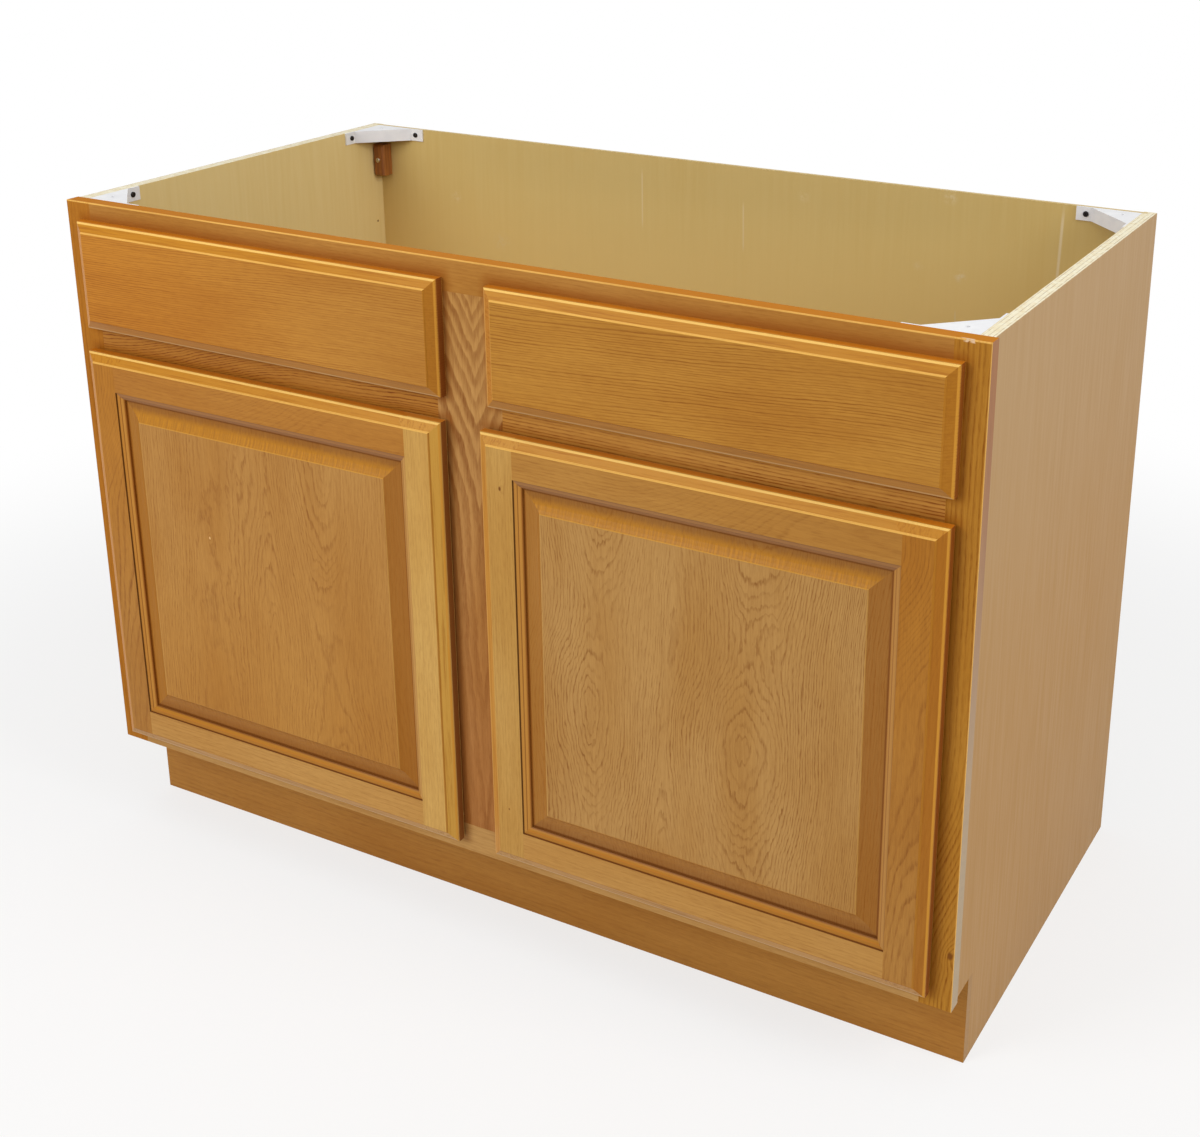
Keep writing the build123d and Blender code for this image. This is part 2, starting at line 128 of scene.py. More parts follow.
def joined(tree, x, y, z=0.0):
    return add(tree, "CombineXYZ", {0: x, 1: y, 2: z}).outputs[0]


def parts_of(tree, vector):
    return add(tree, "SeparateXYZ", {0: vector}).outputs


def vector_sum(tree, operation, a, b=(0.0, 0.0, 0.0), out="Vector"):
    return add(tree, "VectorMath", {0: a, 1: b}, operation=operation).outputs[out]


def noise(tree, place, scale, seed, detail=2.0, roughness=0.5):
    sockets = {"Vector": place, "W": seed, "Scale": scale, "Detail": detail, "Roughness": roughness}
    return add(tree, "TexNoise", sockets, noise_dimensions="4D").outputs["Fac"]


def blend(tree, amount, first, second):
    sockets = {0: amount, 6: first, 7: second}
    return add(tree, "Mix", sockets, data_type="RGBA", blend_type="MIX").outputs[2]


print("noises have a seed of their own, so every run gives the same boards")

# %% [markdown]
# ## Putting a finish on a piece
# The principled shader covers varnish, plastic and metal. What is the same all over a surface is
# set on the shader's own sockets; colour, gloss and the fine relief come from the recipe.

# %% Start, wire and put on a finish
RELIEF = 0.0003  # metres, the depth of wood's pores and fibres


def new_finish(name, roughness, coat=0.0, coat_roughness=0.2, metallic=0.0, specular=0.5):
    finish = bpy.data.materials.new(name)
    finish.use_nodes = True
    shader = finish.node_tree.nodes["Principled BSDF"]
    shader.inputs["Roughness"].default_value = roughness
    shader.inputs["Specular IOR Level"].default_value = specular
    shader.inputs["Coat Weight"].default_value = coat
    shader.inputs["Coat Roughness"].default_value = coat_roughness
    shader.inputs["Metallic"].default_value = metallic
    return finish, finish.node_tree, shader


def wire(tree, shader, colour, roughness, height, strength, depth=RELIEF):
    tree.links.new(colour, shader.inputs["Base Color"])
    tree.links.new(roughness, shader.inputs["Roughness"])
    relief = add(tree, "Bump", {"Strength": strength, "Distance": depth, "Height": height}).outputs[0]
    tree.links.new(relief, shader.inputs["Normal"])


def wear(node, finish):
    nodes[node].data.materials.clear()
    nodes[node].data.materials.append(finish)


print("fine relief:", RELIEF, "m")

# %% [markdown]
# ## Board axes
# Grain follows the log, not the object, so every board gets its own axes: along the grain, across
# the face, and into the thickness. They start from the board's middle and are in metres.
# Working in three dimensions means that ends and edges show the right figure by themselves.

# %% Axes of a board
X, Y, Z = 0, 1, 2


def around(names):
    """The middle, and half the size, of the box that holds all the named nodes."""
    corners = [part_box(name) for name in names]
    low = Vector([min(c[0][i] for c in corners) for i in range(3)])
    high = Vector([max(c[1][i] for c in corners) for i in range(3)])
    return (low + high) / 2, (high - low) / 2


def centred_on(tree, middle):
    centred = add(tree, "Mapping", {"Vector": object_place(tree), "Location": -middle}).outputs[0]
    return parts_of(tree, centred)


def board_axes(tree, node, along, into):
    split = centred_on(tree, around([node])[0])
    across = 3 - along - into
    return split[along], split[across], split[into]


def stretched(tree, board, share):
    """A place squeezed along the grain, so that a noise read there comes out as streaks."""
    u, v, w = board
    return joined(tree, times(tree, u, share), v, w)


print("a door stile runs along Z, its thickness along Y")

# %% [markdown]
# ## Varnished oak
# Oak is ring porous: each year starts with a band of open pores that takes more stain. The rings
# are cylinders round the pith, a line that wanders. Where the pith lies just behind a flat-sawn
# face and dips, the rings surface as nested points or closed ovals; far to the side they give
# straight lines. So each board gets its pith as a few points: along, across and depth behind it.
# A picture of oak would be quicker, but it repeats, and its grain stops at every edge.

# %% The pith and its rings
SLOW = 0.3  # along the grain things change at this share of their speed across it
# Each has a scale, a step added to the board's seed, a detail and a roughness
SWAYS = ((8.0, 0, 2.0, 0.5), (8.0, 20, 2.0, 0.5), (70.0, 40, 3.0, 0.6))
PITHS_MEET = 0.03  # metres over which the rings of two piths flow into one
YEARS_RUN = 0.3  # how often wide and narrow years take turns, for each ring
YEARS_VARY = 2.0  # rings by which such a run can shift the next ones


def pith_line(tree, u, points, column):
    level = points[0][column]
    for start, end in zip(points, points[1:]):
        step = fade(tree, u, start[0], end[0], 0.0, end[column] - start[column])
        level = sum_of(tree, "ADD", level, step)
    return level


def from_pith(tree, board, points, wander, sway, swell, pointed):
    """The distance from one pith. Pointed rings are straight-sided and meet in a V."""
    u, v, w = board
    aside = times_plus(tree, sway, wander, minus(tree, v, pith_line(tree, u, points, 1)))
    deep = times_plus(tree, swell, wander, minus(tree, w, pith_line(tree, u, points, 2)))
    if pointed:
        sides, depth = (sum_of(tree, "ABSOLUTE", value) for value in (aside, deep))
        return times_plus(tree, sides, pointed, depth)
    return vector_sum(tree, "LENGTH", joined(tree, aside, deep), out="Value")


def ring_distance(tree, board, piths, ring, wander, ripples, pointed, seed):
    """The distance from the nearest pith in metres, bent by sways, ripples and uneven years."""
    slow = stretched(tree, board, SLOW)
    sway, swell, ripple = (minus(tree, noise(tree, slow, scale, seed + step, detail, rough), 0.5)
                           for scale, step, detail, rough in SWAYS)
    radius = from_pith(tree, board, piths[0], wander, sway, swell, pointed)
    for points in piths[1:]:
        other = from_pith(tree, board, points, wander, sway, swell, pointed)
        radius = sum_of(tree, "SMOOTH_MIN", radius, other, PITHS_MEET)
    radius = times_plus(tree, ripple, ring * ripples, radius)
    years = noise(tree, joined(tree, radius, seed), YEARS_RUN / ring, seed, 0.0)
    return times_plus(tree, years, ring * YEARS_VARY, radius)


print("one pith gives one set of rings")

# %% [markdown]
# ## Knots and pores
# The wood grows round a pin knot or a flaw, so the rings swing out there. The pores themselves are
# short streaks along the grain. They break up the dark band of each year, which is strong in some
# years and faint in others.

# %% Knots, pores and the year's dark band
SPOT_REACH = 4  # sizes of the spot within which the rings swing out
SPOT_PUSH = 1.5  # rings
SPOT_LENGTH = 0.6  # below 1, a spot is longer along the grain than across it
PORES = {"scale": 700.0, "detail": 2.0, "roughness": 0.55}
PORE_LEVELS = (0.42, 0.66)  # of the noise, between a closed pore and an open one
FIBRES = {"scale": 300.0, "detail": 4.0, "roughness": 0.7}
PORE_LENGTH, FIBRE_LENGTH = 0.11, 0.035  # the smaller, the longer along the grain
PATCHES = {"scale": 14.0, "detail": 1.0}
PATCH_LEVELS = (0.3, 0.65, 0.4, 1.0)  # of the noise, and how much of the figure shows there
BAND_SETS_IN = (0.0, 0.15)  # shares of a year
BAND_TAIL = 0.35  # the band starts to fade at this share of its width
FAINTEST_YEAR = 0.45


def round_spots(tree, board, radius, spots, ring):
    covers = []
    for along, aside, size, colour in spots:
        off_along = times(tree, minus(tree, board[0], along), SPOT_LENGTH)
        off_aside = minus(tree, board[1], aside)
        away = vector_sum(tree, "LENGTH", joined(tree, off_along, off_aside), out="Value")
        push = fade(tree, away, size * SPOT_REACH, 0.0, 0.0, ring * SPOT_PUSH)
        radius = sum_of(tree, "ADD", radius, push)
        covers.append((fade(tree, away, size, size * 0.4), tone(*colour)))
    return radius, covers


def pores_and_fibres(tree, board, seed):
    pores = noise(tree, stretched(tree, board, PORE_LENGTH), seed=seed + 60, **PORES)
    fibres = noise(tree, stretched(tree, board, FIBRE_LENGTH), seed=seed + 70, **FIBRES)
    return fade(tree, pores, *PORE_LEVELS), fibres


def dark_band(tree, board, radius, pores, ring, line, broken, seed):
    """The band of early wood takes the share called line of each year, and pores break it up."""
    years = sum_of(tree, "DIVIDE", radius, ring)
    phase = sum_of(tree, "FRACT", years)
    year = sum_of(tree, "FLOOR", years)
    strength = add(tree, "TexWhiteNoise", {"W": year}, noise_dimensions="1D").outputs["Value"]
    patches = noise(tree, stretched(tree, board, SLOW), seed=seed + 90, **PATCHES)
    return times(tree, fade(tree, phase, *BAND_SETS_IN), fade(tree, phase, line, line * BAND_TAIL),
                 times_plus(tree, strength, 1.0 - FAINTEST_YEAR, FAINTEST_YEAR),
                 times_plus(tree, pores, broken, 1.1 - broken),
                 fade(tree, patches, *PATCH_LEVELS))


print("pores per metre, about:", PORES["scale"])

# %% [markdown]
# ## The oak recipe
# The ground colour drifts slowly between a deep and a pale shade of the board's own stain, and may
# change over to another stain at the far end. Fibres, dark bands and pores are laid over it, and a
# thin coat gives the soft shine of satin varnish.

# %% The oak recipe
PALE, DEEP, DARK = (1.04, 1.11, 1.34), (0.98, 1.0, 1.08), (0.7, 0.57, 0.42)  # factors on the stain
FIBRE_SHARE, PORE_SHARE = 0.16, 0.14  # how dark fibres and pores lie on the ground
CLOUDS = {"scale": 11.0, "detail": 2.0}
MIDDLE_LEVELS = (0.3, 0.7)  # of a noise, between its one shade and its other
FIBRE_LEVELS = (0.35, 0.65)
VARNISH_GLOSS = (0.34, 0.46)  # roughness on the smoothest and the coarsest fibres
PORE_RELIEF = 0.2


def oak(node, along=Z, colour=(170, 113, 36), far=None, piths=(((0.0, 0.15, 0.03),),), ring=0.004,
        figure=0.3, wander=0.02, ripples=1.2, line=0.5, broken=0.6, pointed=0.0, spots=(), seed=1.0,
        specular=0.06, edges=None):
    finish, tree, shader = new_finish("oak_" + node, 0.4, 0.06, 0.2, specular=specular)
    board = board_axes(tree, node, along, Y)
    radius = ring_distance(tree, board, piths, ring, wander, ripples, pointed, seed)
    radius, covers = round_spots(tree, board, radius, spots, ring)
    pores, fibres = pores_and_fibres(tree, board, seed)
    band_there = dark_band(tree, board, radius, pores, ring, line, broken, seed)
    clouds = noise(tree, stretched(tree, board, SLOW), seed=seed + 80, **CLOUDS)
    clouds = fade(tree, clouds, *MIDDLE_LEVELS)
    wood = blend(tree, clouds, shade(colour, DEEP), shade(colour, PALE))
    if far:
        reach = float(around([node])[1][along])
        far_wood = blend(tree, clouds, shade(far, DEEP), shade(far, PALE))
        wood = blend(tree, fade(tree, board[0], -reach, reach), wood, far_wood)
    for share in (fade(tree, fibres, *FIBRE_LEVELS, 0.0, FIBRE_SHARE),
                  times(tree, band_there, figure), times(tree, pores, PORE_SHARE)):
        wood = blend(tree, share, wood, shade(colour, DARK))
    for cover, colour_there in covers:
        wood = blend(tree, cover, wood, colour_there)
    if edges:
        wood = edges(tree, wood, fibres)
    gloss = fade(tree, fibres, *MIDDLE_LEVELS, *VARNISH_GLOSS)
    wire(tree, shader, wood, gloss, times(tree, pores, band_there, -1.0), PORE_RELIEF)
    wear(node, finish)


print("oak recipe ready")

# %% [markdown]
# ## Stained edges, with painted light and shade
# Stain gathers where a cutter left rough fibres, and it rubs off sharp arrises. Over that the edges
# carry painted light: highlights on the round and the lip, painted shade on the square sides, in the
# quirk and in the sticking's corner. All of that follows one number on a front: the distance from
# its outline. The fronts are routed all round, so the distance to the nearest side gives mitred bands
# for free. Which side is nearest sets the painted light: lit at the top, shaded to the right and below.

# %% Where on a front
SQUARE = (0.0004, 0.0002)  # metres in from a front's outline: its square outer edge ends here
ROUND = (0.0008, 0.0029)  # the small round on the arris
BEVEL = (0.0026, 0.0119)
LIP = (0.0116, 0.0134)  # the shallow dip between bevel and face
REAR_FACE = (0.0004, 0.0012)  # metres ahead of a front's rear face over which its tones set in
SIDES = ("left", "right", "top", "bottom")


def band(tree, value, start, end, soft=0.0003):
    starts = fade(tree, value, start - soft, start + soft)
    return times(tree, starts, fade(tree, value, end + soft, end - soft))


def outline(tree, names):
    """How far in from the outline, how much each side is the nearest, and 0 on the rear face."""
    middle, half = around(names)
    split = centred_on(tree, middle)
    from_side, from_end = (minus(tree, half[i], sum_of(tree, "ABSOLUTE", split[i])) for i in (X, Z))
    at_end = sum_of(tree, "LESS_THAN", from_end, from_side)
    at_side = minus(tree, 1.0, at_end)
    right = times(tree, at_side, sum_of(tree, "GREATER_THAN", split[X], 0.0))
    top = times(tree, at_end, sum_of(tree, "GREATER_THAN", split[Z], 0.0))
    nearest = {"left": minus(tree, at_side, right), "right": right, "top": top,
               "bottom": minus(tree, at_end, top)}
    ahead = fade(tree, split[Y], *(half[Y] - gap for gap in REAR_FACE))
    return sum_of(tree, "MINIMUM", from_side, from_end), nearest, ahead


print("bevel", BEVEL, "lip", LIP)

# %% Tones of the edges
# Each row gives the tones to the left, to the right, at the top and at the bottom of a front.
# painted light and shade on the front's square sides: lit on top, shaded to the right and below
SQUARE_EDGE_LIGHT_AND_SHADE = ((146, 84, 26), (118, 56, 18), (192, 112, 20), (108, 62, 26))
# the small round: rubbed pale, with a painted highlight, brightest on top
ROUND_EDGE_RUB_AND_HIGHLIGHT = ((206, 150, 78), (198, 138, 48), (242, 197, 108), (190, 152, 104))
# bevels: stain in the routed end grain, with painted light and shade by side
BEVEL_TONE = ((186, 120, 38), (192, 142, 54), (192, 130, 32), (180, 134, 76))
# the lip: a painted highlight at the top and left, painted shade at the right and bottom
LIP_HIGHLIGHT_AND_SHADE = ((202, 148, 70), (166, 108, 26), (236, 184, 92), (146, 94, 42))
FALSE_BEVEL_TONE = ((184, 120, 46), (160, 100, 20), (188, 126, 28), (164, 113, 58))
RIGHT_BEVEL_TONE = ((190, 128, 46), (160, 98, 24), (192, 130, 32), (180, 134, 76))
BEVEL_STREAKS = ((150, 90, 26), (150, 92, 26), (150, 84, 16), (136, 92, 48))
# painted shadow in the quirk beside the sticking
QUIRK_SHADE = ((66, 32, 12), (150, 104, 56), (124, 88, 60), (96, 46, 16))
# cove and bead: painted light and shade by side
COVE_TONE = ((182, 122, 48), (182, 132, 70), (148, 104, 68), (162, 102, 24))
BEAD_TONE = ((196, 138, 62), (176, 124, 62), (140, 96, 60), (174, 116, 30))
# painted shade in the corner between the sticking and the panel's border
STICKING_CORNER_SHADE = ((132, 72, 20), (120, 66, 24), (112, 60, 18), (110, 58, 20))
# the panel's sloping border, painted in shade
BORDER_TONE = ((156, 98, 24), (150, 90, 20), (132, 76, 12), (132, 76, 22))
# painted highlight on the edge of the raised field
FIELD_EDGE_HIGHLIGHT = ((196, 152, 88), (186, 136, 62), (206, 150, 60), (168, 118, 58))
SHADOW_LINE = ((96, 50, 16), (120, 70, 26), (120, 80, 50), (184, 112, 40))
# painted highlights on the top and bottom borders, in strands
GLEAMS = (("top", 0.8, (198, 134, 34)), ("bottom", 0.5, (178, 124, 56)))  # side, share and tone


def layer(tree, wood, sides, where, tones, share):
    nearest, ahead = sides
    colour = tone(*tones[0])
    for side, shown in zip(SIDES[1:], tones[1:]):
        colour = blend(tree, nearest[side], colour, tone(*shown))
    return blend(tree, times(tree, where, ahead, share), wood, colour)


print("tones for", len(SIDES), "sides of a front")

# %% [markdown]
# ## The routed edge and the door's mouldings
# From the outline inwards a front has a square edge, a small round, a bevel and a lip. A door goes
# on with the moulded inner edge of its members, called the sticking, and the coved border of its
# raised panel, which is brushed end grain at the top and bottom and carries a painted highlight in
# pale strands there.

# %% Paint the routed edge
# how much of the pale round and lip, rubbed wear and painted highlight, shows on the fibres
UNEVEN_RUB_AND_HIGHLIGHT = (0.25, 0.6, 0.72, 1.0)  # levels of the fibres, and how well a rubbed tone takes there
STREAK_LEVELS = (0.48, 0.66)


def routed_edge(tree, wood, fibres, edge, sides, bevel_tone):
    uneven = fade(tree, fibres, *UNEVEN_RUB_AND_HIGHLIGHT)
    bevel = band(tree, edge, *BEVEL)
    # stain on the bevel; painted shade on the square sides; the round and lip pale, partly rubbed and
    # partly painted highlights
    for where, tones, share in (
            (bevel, bevel_tone, 0.72),
            (times(tree, bevel, fade(tree, fibres, *STREAK_LEVELS)), BEVEL_STREAKS, 0.5),
            (fade(tree, edge, *SQUARE), SQUARE_EDGE_LIGHT_AND_SHADE, 0.8),
            (times(tree, band(tree, edge, *ROUND), uneven), ROUND_EDGE_RUB_AND_HIGHLIGHT, 0.9),
            (times(tree, band(tree, edge, *LIP), uneven), LIP_HIGHLIGHT_AND_SHADE, 0.8)):
        wood = layer(tree, wood, sides, where, tones, share)
    return wood


print("routed edge from", SQUARE[1], "to", LIP[1], "m")

# %% The gleam on the panel's border
FIELD = 0.0822  # metres in from the door's outline, where the border meets the flat field
STRANDS = {"scale": 330.0, "seed": 5.0, "detail": 3.0, "roughness": 0.6}
STRAND_SQUEEZE = (1.0, 0.0, 0.06)  # strands run upright, and the same through the thickness
STRAND_LEVELS = (0.35, 0.62, 1.0, 0.45)  # of the noise, and how much of the gleam is left there
GLEAM_START = (FIELD - 0.020, FIELD - 0.009)
GLEAM_END = (FIELD + 0.0006, FIELD - 0.0004)
RAGGED_START, RAGGED_END = 0.020, 0.003  # metres by which single strands shift start and end


def ragged(tree, edge, strands, shift):
    return times_plus(tree, strands, shift, minus(tree, edge, shift / 2))


# a painted highlight on the border's end grain near the field, broken into upright strands
def brushed_gleam(tree, wood, edge, nearest):
    squeezed = {"Vector": object_place(tree), "Scale": STRAND_SQUEEZE}
    strands = noise(tree, add(tree, "Mapping", squeezed).outputs[0], **STRANDS)
    gleam = times(tree, fade(tree, ragged(tree, edge, strands, RAGGED_START), *GLEAM_START),
                  fade(tree, strands, *STRAND_LEVELS),
                  fade(tree, ragged(tree, edge, strands, RAGGED_END), *GLEAM_END))
    for side, share, shown in GLEAMS:
        wood = blend(tree, times(tree, gleam, nearest[side], share), wood, tone(*shown))
    return wood


print("the border meets the field", FIELD, "m in")

# %% Paint the sticking and the panel's border
STICKING_START, STICKING_END = 0.0477, 0.0572  # metres in from the door's outline
QUIRK = (STICKING_START - 0.0002, STICKING_START + 0.0011)
COVE = (STICKING_START, STICKING_END - 0.0002)
SHADOW = (STICKING_START + 0.0046, STICKING_START + 0.0056)
BEAD = (STICKING_START + 0.0055, STICKING_END - 0.0012)
BORDER = (STICKING_END, FIELD - 0.0004)
CORNER = (STICKING_END - 0.0009, STICKING_END + 0.0025, 0.0008)  # softer than the other lines
CLIMB = (FIELD - 0.0004, FIELD + 0.0008)


def door_mouldings(tree, wood, edge, sides):
    # painted light and shade by side on cove, bead and border, and a painted shadow in the quirk
    for where, tones, share in ((COVE, COVE_TONE, 0.75), (BEAD, BEAD_TONE, 0.7),
                                (QUIRK, QUIRK_SHADE, 0.85), (SHADOW, SHADOW_LINE, 0.6),
                                (BORDER, BORDER_TONE, 0.65)):
        wood = layer(tree, wood, sides, band(tree, edge, *where), tones, share)
    wood = brushed_gleam(tree, wood, edge, sides[0])
    # painted shade in the sticking's corner, and a painted highlight on the field's edge
    for where, tones, share in ((CORNER, STICKING_CORNER_SHADE, 0.7), (CLIMB, FIELD_EDGE_HIGHLIGHT, 0.6)):
        wood = layer(tree, wood, sides, band(tree, edge, *where), tones, share)
    return wood


def front_edges(names, bevel_tone):
    """A front of several pieces is a door, and a front of one piece a false front."""
    def paint(tree, wood, fibres):
        edge, *sides = outline(tree, names)
        wood = routed_edge(tree, wood, fibres, edge, sides, bevel_tone)
        return door_mouldings(tree, wood, edge, sides) if len(names) > 1 else wood
    return paint


print("sticking", round(STICKING_END - STICKING_START, 4), "m wide")

# %% [markdown]
# ## Painted shade in the frame's corners
# Round each front the frame is a shade redder and darker: painted shade in the corner beside the
# front. Its top arris, where the worktop will lie, is pale, partly rubbed wear and partly a painted
# highlight, and on the right stile chipped. Its top face is painted in its lit tone, and the right
# stile's outer side carries a painted reflection.
# The frame knows how far it is from a front by the distance to that front's rectangle.

# %% Frame tones and places
# painted shade round the fronts, redder and darker
FRAME_CORNER_SHADE = tone(140, 72, 10)
# the pale arris: rubbed wear with a painted highlight
WORN_AND_LIT_ARRIS = tone(236, 184, 96)
CHIP = tone(222, 188, 150)
# painted light: the top face in the brighter tone the light from above gives it
LIT_TOP_TONE = tone(198, 122, 28)
# painted reflection on the right stile's outer side, palest low down
SIDE_GLARE_LOW, SIDE_GLARE_HIGH = tone(178, 164, 142), tone(156, 114, 88)  # the right stile's outer side
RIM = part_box("top_rail")[1][Z]
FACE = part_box("top_rail")[0][Y]
# Metres from a surface between which a mark fades, from none to full
ON_FRAME_FACE = (0.0010, 0.0004)
ON_RIM = (0.0008, 0.0003)
ON_ARRIS = (0.0018, 0.0010)
NEAR_ARRIS = (0.0036, 0.0028)  # where chips may be
ON_SIDE = (0.0004, 0.0002)
ON_UPRIGHT = (0.0012, 0.0006)
print("rim at", round(RIM, 4), "frame face at", round(FACE, 4))

# %% Marks on the frame
ARRIS_RUB_AND_HIGHLIGHT = (0.3, 0.6, 0.5, 0.95)  # levels of the fibres, and how pale the arris is there
TOP_SHARE, SIDE_GLARE_SHARE, UPRIGHT_SHARE = 0.8, 0.85, 0.6
SIDE_GLARE_HEIGHTS = (0.2, 0.85)  # metres up, from the low tone to the high one
BLOTS = {"scale": 90.0, "seed": 3.3, "detail": 2.0}
BLOT_LEVELS = (0.52, 0.58)


def beyond_front(tree, place, names):
    middle, half = around(names)
    centred = add(tree, "Mapping", {"Vector": place, "Location": (-middle[X], 0, -middle[Z]),
                                    "Scale": (1, 0, 1)}).outputs[0]
    beyond = vector_sum(tree, "SUBTRACT", vector_sum(tree, "ABSOLUTE", centred), half)
    return vector_sum(tree, "LENGTH", vector_sum(tree, "MAXIMUM", beyond), out="Value")


def chips_on_arris(tree, wood, place, from_arris):
    blots = fade(tree, noise(tree, place, **BLOTS), *BLOT_LEVELS)
    return blend(tree, times(tree, blots, fade(tree, from_arris, *NEAR_ARRIS)), wood, CHIP)


def painted_side_glare(tree, wood, split, from_face):
    """Painted reflection on the stile's outer side, palest low down, and a pale upright arris, partly
    rubbed wear and partly a painted highlight.
    """
    middle, half = around(["right_stile"])
    from_side = minus(tree, middle[X] + half[X], split[X])
    side_glare_tone = blend(tree, fade(tree, split[Z], *SIDE_GLARE_HEIGHTS), SIDE_GLARE_LOW, SIDE_GLARE_HIGH)
    wood = blend(tree, fade(tree, from_side, *ON_SIDE, 0.0, SIDE_GLARE_SHARE), wood, side_glare_tone)
    upright = sum_of(tree, "MAXIMUM", from_side, from_face)
    return blend(tree, fade(tree, upright, *ON_UPRIGHT, 0.0, UPRIGHT_SHARE), wood, WORN_AND_LIT_ARRIS)


def frame_light_and_wear(fronts, depth=0.4, reach=0.014, chipped=False, side_glare=False):
    def paint(tree, wood, fibres):
        place = object_place(tree)
        split = parts_of(tree, place)
        away = beyond_front(tree, place, fronts[0])
        for names in fronts[1:]:
            away = sum_of(tree, "MINIMUM", away, beyond_front(tree, place, names))
        from_rim, from_face = minus(tree, RIM, split[Z]), minus(tree, split[Y], FACE)
        # painted shade in the corners round the fronts: depth sets its strength, reach its width in
        # metres
        near = times(tree, fade(tree, away, reach, 0.0), fade(tree, from_face, *ON_FRAME_FACE))
        wood = blend(tree, times(tree, near, depth), wood, FRAME_CORNER_SHADE)
        # the top face painted in its lit tone
        wood = blend(tree, fade(tree, from_rim, *ON_RIM, 0.0, TOP_SHARE), wood, LIT_TOP_TONE)
        # the pale arris, rubbed wear with a painted highlight, broken up by the fibres
        from_arris = sum_of(tree, "MAXIMUM", from_rim, from_face)
        rubbed_and_lit = fade(tree, fibres, *ARRIS_RUB_AND_HIGHLIGHT)
        wood = blend(tree, times(tree, fade(tree, from_arris, *ON_ARRIS), rubbed_and_lit), wood, WORN_AND_LIT_ARRIS)
        if chipped:
            wood = chips_on_arris(tree, wood, place, from_arris)
        return painted_side_glare(tree, wood, split, from_face) if side_glare else wood
    return paint


print("glaze and rubbed arrises ready")

# %% [markdown]
# ## The face frame
# Seven boards make the frame. The wide one in the middle is cut so that its rings show as long
# pointed arches; the others are plain and nearly straight. The stiles and the top rail mirror
# nothing, because the bright room in their flat tops and faces would turn them pink.

# %% Dress the frame
DOOR_MEMBERS = ("hinge_stile", "free_stile", "top_rail", "bottom_rail", "panel")
LEFT_DOOR, RIGHT_DOOR = ([f"{side}_door_{member}" for member in DOOR_MEMBERS]
                         for side in ("left", "right"))
LEFT_FRONT, RIGHT_FRONT = ["left_false_front"], ["right_false_front"]
PIN_KNOT = (124, 74, 28)
oak("left_stile", seed=1.1, colour=(170, 104, 30), piths=(((0.0, 0.16, 0.02),),), ring=0.006,
    figure=0.5, specular=0.0, edges=frame_light_and_wear([LEFT_FRONT, LEFT_DOOR]))
oak("right_stile", seed=2.1, colour=(176, 116, 36), ring=0.005, figure=1.0, ripples=0.6, line=0.6,
    piths=(((-0.38, -0.2, 0.03), (-0.05, -0.12, 0.03)),), spots=((-0.31, 0.014, 0.004, PIN_KNOT),),
    specular=0.0, edges=frame_light_and_wear([RIGHT_FRONT, RIGHT_DOOR], chipped=True, side_glare=True))
oak("centre_stile", seed=3.1, colour=(172, 112, 54), far=(184, 130, 62), wander=0.02, ripples=1.0,
    piths=(((-0.38, 0.0, 0.12), (0.05, 0.008, 0.105), (0.55, 0.004, 0.0)),), ring=0.008, pointed=0.6,
    figure=0.75, line=0.9, broken=0.3, specular=0.0,
    edges=frame_light_and_wear([LEFT_FRONT, LEFT_DOOR, RIGHT_FRONT, RIGHT_DOOR], depth=0.5))
oak("top_rail", X, seed=4.1, colour=(176, 118, 48), piths=(((0.0, 0.1, 0.05),),), specular=0.0,
    edges=frame_light_and_wear([LEFT_FRONT, RIGHT_FRONT], depth=0.55, reach=0.018))
oak("bottom_rail", X, seed=5.1, colour=(184, 134, 66), piths=(((0.0, -0.05, 0.09),),),
    edges=frame_light_and_wear([LEFT_DOOR, RIGHT_DOOR]))
oak("left_mid_rail", X, seed=6.1, colour=(176, 112, 36), ring=0.0036, figure=1.8, line=0.5,
    piths=(((-0.27, -0.37, 0.0), (0.08, -0.30, 0.0), (0.27, -0.29, 0.0)),), wander=0.012, ripples=1.6,
    edges=frame_light_and_wear([LEFT_FRONT, LEFT_DOOR], depth=0.3))
oak("right_mid_rail", X, seed=7.1, colour=(190, 128, 48), piths=(((0.0, 0.3, 0.0),),), ring=0.0042,
    figure=1.5, wander=0.008, ripples=0.4, line=0.6,
    edges=frame_light_and_wear([RIGHT_FRONT, RIGHT_DOOR], depth=0.3))
print("frame dressed")

# %% [markdown]
# ## The false fronts and the doors
# The false fronts are single boards with fine, nearly straight grain. A door's stiles stand and its
# rails lie, and each keeps its own grain up to the joint, so the joints show without being drawn.
# The two doors are made alike, so one loop dresses both; only seeds, tones and knots differ.

